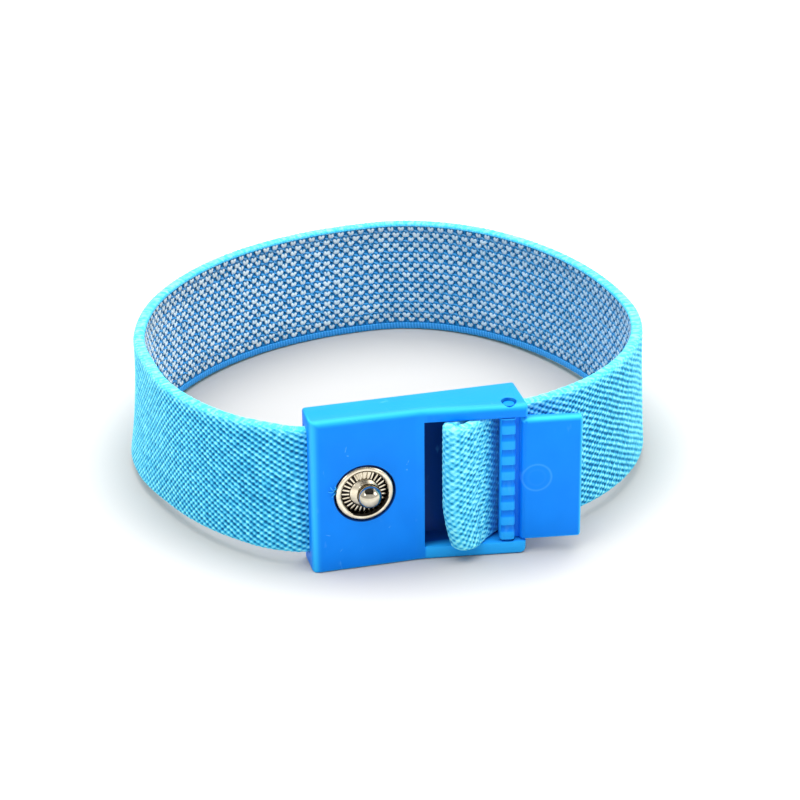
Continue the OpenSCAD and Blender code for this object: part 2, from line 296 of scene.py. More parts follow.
plastic = {"deep": (0.001, 0.226, 0.91), "light": (0.002, 0.246, 0.95), "speck": (0.10, 0.46, 1.0),
           # crest is a painted highlight and groove a painted shade
           "paintedShade": (0.002, 0.055, 0.30), "crest": (0.035, 0.56, 1.0), "groove": (0.002, 0.19, 0.80),
           "roughness": 0.36,
           # painted highlight on edges: full where this steep, and the painted light added where a
           # face looks up
           "steepAt": 0.16, "upPaintedLight": 0.07,
           # the mould's ejector mark on the thumb plate: along, up, radius, and its colour
           "ring": (32.75, 12.45, 2.1), "ringBlue": (0.05, 0.38, 1.0),
           # scuffs on the buckle's face: along, up, half length, half width, slant
           "scuffs": [(5.1, 19.6, 0.9, 0.16, 75), (5.4, 18.6, 0.35, 0.2, 10),
                      (14.2, 16.4, 0.7, 0.14, 62), (14.0, 15.2, 0.28, 0.22, 0),
                      (11.4, 6.2, 0.6, 0.13, 40), (2.3, 6.1, 0.8, 0.12, -20),
                      (4.2, 3.4, 0.5, 0.11, 50)]}


buckle = {"length": 31.4, "height": 24.4, "closedThick": 5.5, "closedLength": 16.6, "kink": 16.2,
          "flare": 7.8, "wall": 2.0, "floor": 1.2, "pocketTop": 3.1, "studAlong": 7.8,
          "studHole": 4.5, "post": 1.16, "seat": 6.56, "seatDeep": 0.35,
          "hinge": (28.95, 5.8965), "bore": 1.12, "cutRound": 0.13,
          # how much paler the rounded edges are painted, as a painted highlight, and the painted
          # light on the slim lower arm, where 0.5 is plain
          "edgeHighlight": 0.75, "armPaintedLight": 0.76}
midUp = buckle["height"] / 2


def frontPlastic(wires, spot, body, mark, fine):
    # what only the buckle has: scuffs, and painted shade in its well and in the gaps round its
    # hinge bores
    for along, up, longer, wide, slant in plastic["scuffs"]:
        here = (1.15 - awayFrom(spot, along, up, (longer, 1.2, wide), slant)).clamped()
        mark = mark + ((here * 2.0 + fine * 2.4) - 2.3).clamped() * 1.3
    x, y, z = (wires.node("ShaderNodeSeparateXYZ", {0: spot}, output=i) for i in range(3))
    left, front = plan(buckle["closedLength"] - 0.3, buckle["closedThick"]).xy
    half = (midUp - buckle["wall"]) * mm
    bottom = plan(0, buckle["floor"] - 0.3).y
    # painted shade deep in the window's well
    paintedShade = (x.between(left, left + 0.25 * mm)
            * abs(z - midUp * mm).between(half + 0.25 * mm, half + 0.05 * mm)
            * y.between(front + 0.1 * mm, front + 1.7 * mm) * y.between(bottom, bottom - 0.2 * mm))
    body = paintedShade.blend(body, plastic["paintedShade"])
    # painted shade in the gap round the hinge pin
    pin = plan(*buckle["hinge"])
    away = spot.vector("MULTIPLY", spot.vector("SUBTRACT", spot, (pin.x, pin.y, 0.0)), (1, 1, 0))
    gap = away.length().between((buckle["bore"] + 0.03) * mm, (buckle["bore"] - 0.02) * mm)
    return (gap * 0.7).blend(body, plastic["paintedShade"]), mark


def platePlastic(spot, body, mark):
    # what only the lever has: the faint ring of the mould's ejector pin
    along, up, radius = plastic["ring"]
    away = awayFrom(spot, along, up, (radius, 1000.0, radius))
    ring = ((1 - abs(away - 1.0) * (radius / 0.22)).clamped()
            + (1 - abs(away - 0.6) * (radius / 0.3)).clamped() * 0.12)
    return (ring * 0.26).blend(body, plastic["ringBlue"]), mark * 0.4 + ring * 0.4


def awayFrom(spot, along, up, size, slant=0.0):
    # distance from a place on the front, counted in the given sizes
    centre = plan(along, buckle["closedThick"], up)
    apart = spot.vector("SUBTRACT", spot, tuple(centre))
    laid = spot.node("ShaderNodeVectorRotate", {"Vector": apart, "Angle": math.radians(slant)},
                     rotation_type="Y_AXIS")
    return spot.vector("MULTIPLY", laid, tuple(1 / (n * mm) for n in size)).length()


def mouldedPlastic(name, onLever=False):
    material, wires = newMaterial(name, Roughness=plastic["roughness"], IOR=1.49,
                                  Specular_IOR_Level=0.11)
    spot = wires.objectPlace()
    fine = spot.noise(5200.0, 2.0)
    body = spot.noise(170.0, 3.0).ramp((0.3, plastic["deep"]), (0.7, plastic["light"]))
    # pale scuffs: short streaks that appear only where a wide noise is high
    streaks = spot.stretched((900.0, 900.0, 330.0), (0.0, 0.5, 0.0)).noise(1.0, 2.0)
    mark = ((streaks - 0.64) * 9.0).clamped() * ((spot.noise(210.0, 1.0) - 0.5) * 5.0).clamped()
    # painted highlights along soft edges and the ribs' crests, painted shade in the grooves
    tone = wires.attribute("tone")
    body = tone.between(0.5, 1.0).blend(body, plastic["crest"])
    body = tone.between(0.5, 0.0).blend(body, plastic["groove"])
    # painted shade on the wall of the stud's hole
    radius = buckle["studHole"] + 0.10
    away = awayFrom(spot, buckle["studAlong"], midUp, (radius, 1000.0, radius))
    body = ((1 - away) * 200.0).clamped().blend(body, plastic["paintedShade"])
    if onLever:
        body, mark = platePlastic(spot, body, mark)
    else:
        body, mark = frontPlastic(wires, spot, body, mark, fine)
    mark = mark.clamped()
    feed(material, Base_Color=(mark * 0.6).blend(body, plastic["speck"]),
         Normal=(fine * 0.25 + spot.noise(260.0, 1.0) * 2.0 + mark).bump(0.25, 0.00003),
         Roughness=fine * 0.10 + (plastic["roughness"] - 0.05))
    return material


bluePlastic = mouldedPlastic("buckleBlue")
leverPlastic = mouldedPlastic("leverBlue", onLever=True)


def faceUp(along):
    # how far out the flared front face is
    slope = math.tan(math.radians(buckle["flare"]))
    return buckle["closedThick"] + (along - buckle["kink"]) * slope


def prism(outline, low, high, bm=None):
    # an outline in (along, outward), raised from low to high across the band
    bm = bm or bmesh.new()
    ring = bm.faces.new([bm.verts.new(plan(a, o, low)) for a, o in outline])
    lifted = bmesh.ops.extrude_face_region(bm, geom=[ring])
    bmesh.ops.translate(bm, vec=(0, 0, (high - low) * mm),
                        verts=[g for g in lifted["geom"] if isinstance(g, bmesh.types.BMVert)])
    return bm


def rod(centre, axis, radius, start, end, segments=64, bm=None):
    # a plain turned rod, as a cutter or a pin; axis "up" or "out"
    bm = bm or bmesh.new()
    turn = Matrix() if axis == "up" else Matrix.Rotation(math.radians(90), 4, "X")
    first, second = centre
    middle = (start + end) / 2
    spot = plan(first, second, middle) if axis == "up" else plan(first, middle, second)
    bmesh.ops.create_cone(bm, cap_ends=True, segments=segments, radius1=radius * mm,
                          radius2=radius * mm, depth=(end - start) * mm,
                          matrix=Matrix.Translation(spot) @ turn)
    return bm


def weighEdges(bm, rounds):
    # gives each edge the rounding of the first rule that both its ends satisfy
    layer = bm.edges.layers.float.new("bevel_weight_edge")
    for edge in bm.edges:
        ends = [unplan(vert.co) for vert in edge.verts]
        for rule, width in rounds:
            if all(rule(*end) for end in ends):
                edge[layer] = width
                break


def softened(piece, width, angle, segments=2, weights=False):
    modifier = piece.modifiers.new("soft", "BEVEL")
    modifier.width = width * mm
    modifier.segments = segments
    modifier.limit_method = "WEIGHT" if weights else "ANGLE"
    modifier.angle_limit = math.radians(angle)
    modifier.use_clamp_overlap = not weights
    modifier.miter_outer = "MITER_ARC" if weights else "MITER_SHARP"


def near(a, b, gap=0.02):
    return abs(a - b) < gap


def paintedEdgeLight(mesh, share):
    # 0.5 on flat faces, more as a painted highlight where a front edge is rounded over, and a shade
    # more as painted light where it faces up
    flat = {v for face in mesh.polygons if face.area > 10 * mm * mm for v in face.vertices}
    tones = []
    for vert in mesh.vertices:
        steep = clamp((1 - max(abs(n) for n in vert.normal)) / plastic["steepAt"])
        if vert.normal.y < -0.08 and vert.index not in flat:
            tones.append(0.5 + 0.5 * share * steep)
        else:
            tones.append(0.5 + (plastic["upPaintedLight"] if vert.normal.z > 0.9 else 0.0))
    return tones


def makeBuckle():
    b = buckle
    end, top, front, closed = b["length"], b["height"], b["closedThick"], b["closedLength"]
    block = prism([(0, 0), (end, 0), (end, faceUp(end)), (b["kink"], front), (0, front)], 0, top)
    weighEdges(block, [
        (lambda a, o, u: near(a, 0) and near(o, front), 1.3),       # left front corner
        (lambda a, o, u: near(a, 0) and near(o, 0), 0.5),
        (lambda a, o, u: near(a, end) and near(u, 0), 1.1),         # arm ends
        (lambda a, o, u: near(a, end) and near(u, top), 0.45),
        (lambda a, o, u: near(a, end) and o > 3, 0.5),
        (lambda a, o, u: near(a, b["kink"]) and near(o, front), 1.0),
        (lambda a, o, u: near(u, top) and o > 3, 1.05),
        (lambda a, o, u: near(u, 0) and o > 3, 0.45),
        (lambda a, o, u: near(a, 0), 0.4),
        (lambda a, o, u: near(o, 0), 0.35)])
    piece = fromBmesh(block, "buckleShell", bluePlastic, 0)
    softened(piece, 1.0, 30, segments=6, weights=True)
    low, high = b["wall"], top - b["wall"]
    box = lambda a, o, farA, farO: prism([(a, o), (farA, o), (farA, farO), (a, farO)], low, high)
    stud = (b["studAlong"], midUp)
    cutters = [box(closed, b["floor"], end + 2, 12),                # window
               box(-1, b["floor"], closed + 1, b["pocketTop"]),     # pocket of the fixed end
               rod(stud, "out", b["studHole"], b["floor"] + 0.9, 8, 96),
               rod(stud, "out", b["post"], -1, 2),
               rod(stud, "out", b["seat"], -1, b["seatDeep"], 96),
               rod(b["hinge"], "up", b["bore"], -1, top + 1, 48)]
    tools = [fromBmesh(cutter, "cutter", bluePlastic, 0) for cutter in cutters]
    for tool in tools:
        modifier = piece.modifiers.new("cut", "BOOLEAN")
        modifier.operation = "DIFFERENCE"
        modifier.solver = "EXACT"
        modifier.object = tool
    softened(piece, b["cutRound"], 40)
    mesh = applied(piece)
    for tool in tools:
        bpy.data.objects.remove(tool)
    tones = paintedEdgeLight(mesh, b["edgeHighlight"])
    # painted light on the slim lower arm towards its end
    for vert in mesh.vertices:
        if vert.co.z < (low + 0.1) * mm and vert.co.x > plan(closed + 0.3, 0).x:
            tones[vert.index] = max(tones[vert.index], b["armPaintedLight"])
    setAttributes(mesh, tone=tones)
    piece = fromMesh(mesh, "buckleShell", bluePlastic, 30)
    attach(piece, "strap")
    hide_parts("buckle_body")


makeBuckle()
print("buckle")


lever = {"low": 2.3, "wide": 19.8, "barrel": 1.3, "grooves": 8, "grooveDeep": 0.17,
         # how square the barrel is, where 2 is round, the size that leaves, and its heel's share
         "square": 5.0, "squareSize": 0.955, "slim": 0.74,
         # the barrel's two ends: in from its radius, up, share of the groove's depth
         "lowEnd": [(0.14, 0.0, 1.0), (0.03, 0.05, 1.0), (0.0, 0.14, 0.6)],
         "highEnd": [(0.0, -0.14, 0.0), (0.03, -0.05, 0.4), (0.14, 0.0, 0.8)],
         # one rib: share of the pitch, share of the depth; the first starts a little way up
         "rib": [(0.02, 0.0), (0.25, 0.0), (0.46, 0.0), (0.54, 0.25), (0.62, 0.65), (0.72, 0.90),
                 (0.92, 1.0), (0.955, 0.9), (0.97, 0.1), (0.985, 0.0)],
         "ribsFrom": 0.10,
         "heelOut": 1.65, "heelRound": 0.75, "plate": 1.1, "tip": 39.3,
         # tones, 0.5 being plain: painted highlights on the ribs' crests and on the strips beside
         # them, and painted shade in the grooves and the gap behind
         "crestHighlight": 0.72, "nearHighlight": 0.78, "heelHighlight": 0.95, "heelGroove": 0.25,
         "gapShade": 0.40, "stripFrom": 0.78, "heelGrooves": 0.75,
         "toothReach": 1.979, "toothHigh": 0.7, "toothTurn": 86.0,
         "toothRoot": 0.5, "toothTip": 0.12, "axle": 0.80, "axleSink": 0.38}


def turned(point, heading, distance):
    angle = math.radians(heading)
    return np.array(point) + distance * np.array([math.cos(angle), math.sin(angle)])


def arcPoints(start, heading, turn, radius, count):
    side = 1 if turn > 0 else -1
    centre = turned(start, heading + 90 * side, radius)
    return [turned(centre, heading - 90 * side + turn * i / count, radius)
            for i in range(1, count + 1)]


def spinRow(bm, centre, axis):
    # joins the vertices in their order and turns the row all the way round
    row = bm.verts[:]
    for a, b in zip(row, row[1:]):
        bm.edges.new((a, b))
    bmesh.ops.spin(bm, geom=bm.verts[:] + bm.edges[:], cent=centre, axis=axis,
                   angle=math.radians(360), steps=96, use_merge=True)
    bmesh.ops.remove_doubles(bm, verts=bm.verts, dist=1e-6)


def spunBarrel():
    # ribs turned round the hinge: each steps in sharply under the rib above, then slopes out again
    wide, full, deep = lever["wide"], lever["barrel"], lever["grooveDeep"]
    pitch = wide / lever["grooves"]
    points = [(0.0, 0.0, 1.0), *((full - r, up, cut) for r, up, cut in lever["lowEnd"])]
    points += [(full, (i + share) * pitch + lever["ribsFrom"], cut)
               for i in range(lever["grooves"]) for share, cut in lever["rib"]]
    points += [*((full - r, wide + up, cut) for r, up, cut in lever["highEnd"]), (0.0, wide, 1.0)]
    bm = bmesh.new()
    layer = bm.verts.layers.float.new("tone")
    along, outward = buckle["hinge"]
    for r, up, cut in points:
        bm.verts.new(plan(along + r, outward, lever["low"] + up))[layer] = cut
    spinRow(bm, plan(along, outward), (0, 0, 1))
    # squared off, so that its front is nearly flat and lies along the outer face; the grooves are
    # cut into that front and fade out round the sides
    flare, centre, power = math.radians(buckle["flare"]), plan(along, outward), lever["square"]
    for vert in bm.verts:
        away = Vector((vert.co.x - centre.x, vert.co.y - centre.y))
        cut = vert[layer]
        vert[layer] = 0.5
        if away.length < 1e-6:
            continue
        turn = math.atan2(away.y, away.x) + flare
        side, out = math.cos(turn), -math.sin(turn)      # 1 towards the heel, 1 outwards
        away *= lever["squareSize"] / (abs(side) ** power + abs(out) ** power) ** (1 / power)
        front = clamp((out - 0.25) / 0.5)
        shallow = lever["heelGrooves"] if side > 0 else 0.0
        if away.length > 0.9 * full * mm:
            away *= 1 - deep * cut * (shallow + (1 - shallow) * front) * mm / away.length
        if side > 0:
            away.x *= lever["slim"]
        vert.co.x, vert.co.y = centre.x + away.x, centre.y + away.y
        # painted highlights on the barrel's front strips and the ribs' crests, painted shade in its
        # grooves
        if out > 0 and side < -lever["stripFrom"]:
            vert[layer] = lever["nearHighlight"]
        elif out > 0 and side > lever["stripFrom"]:
            vert[layer] = lever["heelHighlight"] - lever["heelGroove"] * cut
        elif out > 0:
            vert[layer] = lever["crestHighlight"] * (1 - cut)
    bmesh.ops.recalc_face_normals(bm, faces=bm.faces)
    return bm


def thumbPlate():
    # from the barrel up the heel and out to the tip, level with the buckle's flared face
    along, outward = buckle["hinge"]
    flare = math.radians(buckle["flare"])
    thick, heel, radius = lever["plate"], lever["heelOut"], lever["heelRound"]
    tip, web, under = lever["tip"] - along, lever["barrel"] / 3, 0.1 - lever["barrel"]
    over = lambda x: faceUp(along + x) - outward
    start = (heel, over(heel + radius) - radius)
    outline = [(0, web), (heel, web), start,
               *arcPoints(start, 90, buckle["flare"] - 90, radius, 8), (tip, over(tip)),
               (tip + thick * math.sin(flare), over(tip) - thick * math.cos(flare)),
               (heel + thick, over(heel + thick) - thick / math.cos(flare)),
               (heel, -web), (web, under), (0, under)]
    low, high = lever["low"], lever["low"] + lever["wide"]
    plate = prism([(along + x, outward + y) for x, y in outline], low, high)
    tipFrom, heelFrom = lever["tip"] - 0.2, along + heel - 0.1
    weighEdges(plate, [
        (lambda a, o, u: a > tipFrom and near(u, low), 0.45),
        (lambda a, o, u: a > tipFrom and near(u, high), 0.8),
        (lambda a, o, u: a > tipFrom and near(o, faceUp(a), 0.1), 0.55),
        (lambda a, o, u: a > heelFrom and near(u, high) and o > faceUp(a) - 0.8, 0.85),
        (lambda a, o, u: a > heelFrom and near(u, low) and o > faceUp(a) - 0.8, 0.40),
        (lambda a, o, u: a > heelFrom + 0.3, 0.18)])
    plate = fromBmesh(plate, "plate", leverPlastic, 0)
    softened(plate, 1.0, 30, segments=5, weights=True)
    mesh = applied(plate)
    tones = paintedEdgeLight(mesh, 1.0)
    # painted shade in the gap behind the barrel
    for vert in mesh.vertices:
        a, o, u = unplan(vert.co)
        if a < along + heel + 0.8 and u < high - 0.8:
            tones[vert.index] = 0.5 - lever["gapShade"] * clamp((faceUp(a) - o - 0.05) / 0.6)
    setAttributes(mesh, tone=tones)
    return mesh


def makeLever():
    bm = toBmesh(thumbPlate())
    bm.from_mesh(toMesh(spunBarrel(), "barrel"))
    plain = len(bm.verts)
    hinge, sink = buckle["hinge"], lever["axleSink"]
    rod(hinge, "up", lever["axle"], sink, buckle["height"] - sink, 40, bm)
    # foot and teeth, drawn from the hinge and turned to bite behind the climbing band
    turn = math.radians(lever["toothTurn"])
    c, s = math.cos(turn), math.sin(turn)
    far, half, fine = lever["toothReach"], lever["toothRoot"], lever["toothTip"]
    root, foot = far - lever["toothHigh"], 0.8 * lever["barrel"]

    def towardsBand(points, start, end):
        prism([(hinge[0] + x * c + y * s, hinge[1] - x * s + y * c) for x, y in points],
              lever["low"] + start, lever["low"] + end, bm)
    towardsBand([(0, -foot), (root, -half), (root, half), (0, foot)], 0, lever["wide"])
    pitch = lever["wide"] / lever["grooves"]
    for i in range(lever["grooves"]):
        towardsBand([(0, -half), (root, -half), (far, -fine), (far, fine), (root, half), (0, half)],
                    (i + 0.25) * pitch, (i + 0.75) * pitch)
    bm.verts.ensure_lookup_table()
    tone = bm.verts.layers.float["tone"]
    for vert in bm.verts[plain:]:
        vert[tone] = 0.5
    piece = fromBmesh(bm, "leverShell", leverPlastic, 32)
    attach(piece, "lever")
    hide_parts("cam_lever")


makeLever()
print("lever")


band = {"wide": 20.0, "thick": 1.8, "low": 2.2, "step": 0.125, "rows": 146,
        # the knit's repeat, and how deep its holes are
        "along": 1.786, "across": 1.896, "relief": 0.22,
        # how far it leans out below and draws in at its middle, with what two stretches add
        "lean": 0.38, "leanTight": 0.30, "leanFront": -0.40, "waist": 0.12, "waistTight": 0.35,
        "corner": 0.55, "innerCorner": 0.40, "bulge": 0.07, "underLining": -0.26,
        "brink": 1.5, "plainLow": 1.25, "plainHigh": 0.52}
yarn = {"dark": (0.0, 0.085, 0.24), "low": (0.003, 0.23, 0.54), "mid": (0.072, 0.62, 0.94),
        "bright": (0.34, 1.0, 1.0), "hem": (0.055, 0.66, 0.90), "hemDark": (0.01, 0.30, 0.60),
        "inner": (0.075, 0.46, 0.97), "innerDark": (0.024, 0.29, 0.76)}


def knitFabric():
    material, wires = newMaterial("elasticKnit", Roughness=0.78, Specular_IOR_Level=0.25,
                                  Sheen_Weight=0.15, Sheen_Roughness=0.4,
                                  Sheen_Tint=(0.3, 0.9, 1.0, 1))
    height, edge, inner, along, across = (
        wires.attribute(name) for name in ("height", "edge", "inner", "along", "across"))
    # fine filaments lie along the ribs, which run a little aslant
    lie = wires.node("ShaderNodeCombineXYZ", {0: along * 2.2 + across * 1.0,
                                              1: across * 11.0 - along * 5.0, 2: edge * 3.0})
    filament = lie.noise(1.0, 3.0)
    spot = wires.objectPlace()
    tone = (height + (filament - 0.5) * 0.6 + (spot.noise(420.0, 2.0) - 0.5) * 0.22
            + (spot.noise(1300.0, 1.0) - 0.5) * 0.55)
    # the colour runs from painted shade in the knit's hollows through the yarn's own blue to a
    # painted highlight on its crests, and the same on the hem
    cloth = tone.ramp((0.10, yarn["dark"]), (0.36, yarn["low"]), (0.66, yarn["mid"]),
                      (0.97, yarn["bright"]))
    hem = (tone * 0.9).ramp((0.1, yarn["hemDark"]), (0.62, yarn["hem"]), (0.95, yarn["bright"]))
    ribs = wires.maths("SINE", along * 12.0 + across * 1.5) * 0.5 + filament * 0.6
    deep = ribs.ramp((0.1, yarn["innerDark"]), (0.8, yarn["inner"]))
    feed(material, Base_Color=inner.blend(edge.blend(cloth, hem), deep),
         Roughness=0.92 - height * 0.2, Normal=filament.bump(0.55, 0.00006))
    return material


knit = knitFabric()


# the band's path, seen from above
loop = {"left": 18.6, "right": 27.2, "depth": 72.5, "leftDepth": 32.4, "rightDepth": 28.6,
        "deepest": 27.7, "exitAngle": 29.0, "exitRadius": 4.0, "middle": 2.15, "fixedEnd": 14.6,
        "climbAngle": 37.5, "bendRadius": 2.6, "climbGap": 0.55, "climbLength": 6.8,
        "crestRadius": 4.5, "crestTurn": 32.5, "foldRadius": 0.96, "hem": 4.4, "plyGap": 0.06,
        # how far the folded end's foot is drawn in, and up to what share of the width
        "foot": 1.35, "footShare": 0.36,
        # the four curves of the loop: how far each is pulled at its ends, and its points
        "pulls": [(0.73, 0.41, 80), (0.35, 0.69, 100), (0.55, 0.54, 100), (0.65, 0.35, 80)]}


def curvePoints(a, b, c, d, count):
    return [(1 - t) ** 3 * a + 3 * (1 - t) ** 2 * t * b + 3 * (1 - t) * t * t * c + t ** 3 * d
            for t in (i / count for i in range(1, count + 1))]


def bandPath():
    q, middle = loop, loop["middle"]
    mouth, throat = np.array([0.0, middle]), np.array([buckle["length"], middle])
    leave = arcPoints(mouth, 180, q["exitAngle"], q["exitRadius"], 24)
    points = [np.array([q["fixedEnd"], middle]), mouth, *leave]
    # place and heading where the curves of the loop meet
    stations = [(leave[-1], 180 + q["exitAngle"]), (np.array([-q["left"], -q["leftDepth"]]), 270),
                (np.array([q["deepest"], -q["depth"]]), 0),
                (np.array([buckle["length"] + q["right"], -q["rightDepth"]]), 90), (throat, 180)]
    for i, (first, last, count) in enumerate(q["pulls"]):
        (start, leaving), (end, coming) = stations[i:i + 2]
        gap = np.abs(end - start)[::-1 if i % 2 else 1]
        points += curvePoints(start, turned(start, leaving, first * gap[0]),
                              turned(end, coming, -last * gap[1]), end, count)
    # free end: past the teeth, over the crest, and folded back under itself
    climb, crestTurn = math.radians(q["climbAngle"]), math.radians(q["crestTurn"])
    hingeAlong, hingeOut = buckle["hinge"]
    clear = lever["barrel"] + q["climbGap"] + band["thick"] / 2 - q["bendRadius"]
    rise = (hingeOut - middle - q["bendRadius"]) * math.cos(climb)
    bendStart = np.array([hingeAlong - (clear - rise) / math.sin(climb), middle])
    bend = arcPoints(bendStart, 180, -q["climbAngle"], q["bendRadius"], 24)
    heading = 180 - q["climbAngle"]
    top = turned(bend[-1], heading, q["climbLength"])
    crest = arcPoints(top, heading, q["crestTurn"], q["crestRadius"], 24)
    drop = (band["thick"] + q["plyGap"] - q["crestRadius"] * (1 - math.cos(crestTurn))
            - q["foldRadius"] * math.cos(crestTurn))
    towardHem = math.acos(drop / math.hypot(q["foldRadius"], q["hem"]))
    turn = 180 - q["crestTurn"] + math.degrees(
        towardHem - math.atan2(q["hem"], q["foldRadius"]))
    fold = arcPoints(crest[-1], heading + q["crestTurn"], turn, q["foldRadius"], 40)
    tail = turned(fold[-1], heading + q["crestTurn"] + turn, q["hem"])
    return np.array([*points, bendStart, *bend, top, *crest, *fold, tail])


def smoothRun(values, width=6):
    spread = np.exp(-0.5 * (np.arange(-3 * width, 3 * width + 1) / width) ** 2)
    padded = np.pad(values, 3 * width, mode="edge")
    return np.convolve(padded, spread / spread.sum(), mode="valid")


rawPath = bandPath()
rawRun = np.concatenate([[0], np.cumsum(np.linalg.norm(np.diff(rawPath, axis=0), axis=1))])
fineRun = np.arange(0, rawRun[-1], 0.05)
pathAlong, pathOut = (np.interp(fineRun, rawRun, rawPath[:, i]) for i in range(2))
fineRun = fineRun - loop["fixedEnd"]     # zero where the band leaves the pocket
runEnd = float(fineRun[-1])
dx, dy = np.gradient(pathAlong), np.gradient(pathOut)
size = np.hypot(dx, dy)
normAlong, normOut = smoothRun(dy / size), smoothRun(-dx / size)
size = np.hypot(normAlong, normOut)
normAlong, normOut = normAlong / size, normOut / size
throat = float(fineRun[np.argmin(np.hypot(pathAlong - buckle["length"], pathOut - loop["middle"]))])
# where the free end turns up towards the lever's barrel, and where it folds over
climb = float(fineRun[np.argmax((fineRun > throat + 1) & (pathOut > loop["middle"] + 0.6))])
fold = float(fineRun[np.argmin(pathAlong + 100 * (fineRun < climb))]) - 1.0
print("band path", round(runEnd, 2), "mm past the pocket, throat at", round(throat, 2))


# stretches of the band where it differs: where each fades in, and then where it fades out
stretches = {"free": (0, 9, throat - 9, throat), "pastPocket": (6, 24), "pale": (8, 30),
             "front": (4, 12, 26, 38), "tight": (24, 38, 48, 62), "left": (12, 30, 50, 80),
             "bent": (22, 40, 58, 74), "right": (throat - 70, throat - 35),
             "slack": (throat - 52, throat - 42, throat - 28, throat - 18),
             "tail": (throat + 5, throat + 9),
             "besideBarrel": (throat + 5, throat + 9, climb + 4.5, climb + 9.0),
             "underBarrel": (climb - 1, climb, climb + 1.4, climb + 4.4),
             "climbed": (climb, climb + 2), "drawnIn": (climb + 3, fold),
             "turning": (fold - 3, fold + 3), "fold": (fold - 1.5, fold + 0.5, fold + 3, fold + 5),
             "hem": (fold + 3, runEnd)}


def fadeBetween(run, start, end):
    t = np.clip((run - start) / (end - start), 0, 1)
    return t * t * (3 - 2 * t)


def within(name, run):
    start, end, *leaving = stretches[name]
    share = fadeBetween(run, start, end)
    return share * (1 - fadeBetween(run, *leaving)) if leaving else share


def wrap(run, out, up):
    # flat cloth (run along the band, out of its middle, up from its lower edge) to the loop
    a, o, alongOut, outOut = (np.interp(run, fineRun, line)
                              for line in (pathAlong, pathOut, normAlong, normOut))
    sunk = np.clip((loop["middle"] - o) / (loop["middle"] + loop["depth"]), 0, 1)
    share = up / band["wide"]
    tight = within("tight", run)
    lean = band["lean"] + band["leanTight"] * tight + band["leanFront"] * within("front", run)
    waist = band["waist"] + band["waistTight"] * tight
    out = out + within("free", run) * (lean * (1 - 2 * share) - waist * 4 * share * (1 - share))
    # the folded end is drawn in at its foot
    drawn = within("drawnIn", run) * (1 - 0.8 * within("hem", run))
    foot = loop["foot"] * drawn * np.clip(1 - share / loop["footShare"], 0, 1) ** 1.5
    a, o = a + alongOut * out + foot, o + outOut * out
    return np.stack([(a - origin["along"]) * mm, (-origin["wristFace"] - o) * mm,
                     (band["low"] * (1 - sunk) + up) * mm], axis=-1)


def wovenTube(name, start, end, rings, columns, material, lay):
    # a grid rolled into a tube about the path; lay gives out, up and the attributes it is to have
    bm = bmesh.new()
    bm.loops.layers.uv.new("OFBake")
    bmesh.ops.create_grid(bm, x_segments=rings, y_segments=columns, size=1.0, calc_uvs=True)
    mesh = toMesh(bm, name)
    flat = getPlaces(mesh)
    run = start + (end - start) * (flat[:, 0] + 1) / 2
    column = np.rint((flat[:, 1] + 1) / 2 * columns).astype(int) % columns
    out, up, attributes = lay(run, column)
    setPlaces(mesh, wrap(run, out, up))
    setAttributes(mesh, **attributes, along=run, across=up)
    bm = toBmesh(mesh)
    bmesh.ops.remove_doubles(bm, verts=bm.verts, dist=2e-7)
    bmesh.ops.holes_fill(bm, edges=[e for e in bm.edges if e.is_boundary], sides=0)
    return fromBmesh(bm, name, material, 0)


waves = [(rng.uniform(0.15, 0.9), rng.uniform(-0.7, 0.7), rng.uniform(0, 6.28)) for _ in range(9)]


def wander(run, up, shift=0.0):
    # slow wobble of the rows, the same each time
    return sum(np.sin(kr * run + ku * up + phase + shift * (i + 1))
               for i, (kr, ku, phase) in enumerate(waves)) / len(waves)


# what the knit is mixed from: a share on the whole band, and what some stretches add to it
weave = {"falling": (0.63, {"pastPocket": -0.08, "left": -0.18, "right": 0.08, "tail": -0.23,
                            "besideBarrel": 0.24}),
         "rising": (0.40, {"pastPocket": 0.10, "left": 0.15, "right": -0.08, "tail": 0.04,
                           "besideBarrel": -0.26}),
         "broken": (0.10, {"right": 0.08, "tail": 0.02}),
         "loose": (0.16, {"right": 0.08}),
         "crisp": (1.25, {"tail": 0.35}),
         "light": (0.90, {"pale": 0.10}),
         "uneven": 0.14, "whole": 1.12, "levelRows": 0.75, "turnedOver": 1.6, "shade": 0.35,
         # the edge: its tone, how dark and how deep its hooks are, and what shows of the knit
         "hemTone": 0.86, "hookDark": 0.50, "hookDeep": 0.10, "hemKnit": 0.42,
         # tone of the face under the lining, the painted shade behind the barrel, and how far its
         # faces swell
         "hidden": 0.15, "shadeBehindBarrel": 0.75, "swell": 0.05,
         # stretches where it lies flatter: how much, and at what height
         "flatter": [("slack", 0.25, 0.95), ("bent", 0.30, 0.78), ("fold", 0.35, 0.75)]}
alongTurns, acrossTurns = 2 * math.pi / band["along"], 2 * math.pi / band["across"]


def shareOf(name, run):
    whole, added = weave[name]
    return whole + sum(value * within(stretch, run) for stretch, value in added.items())


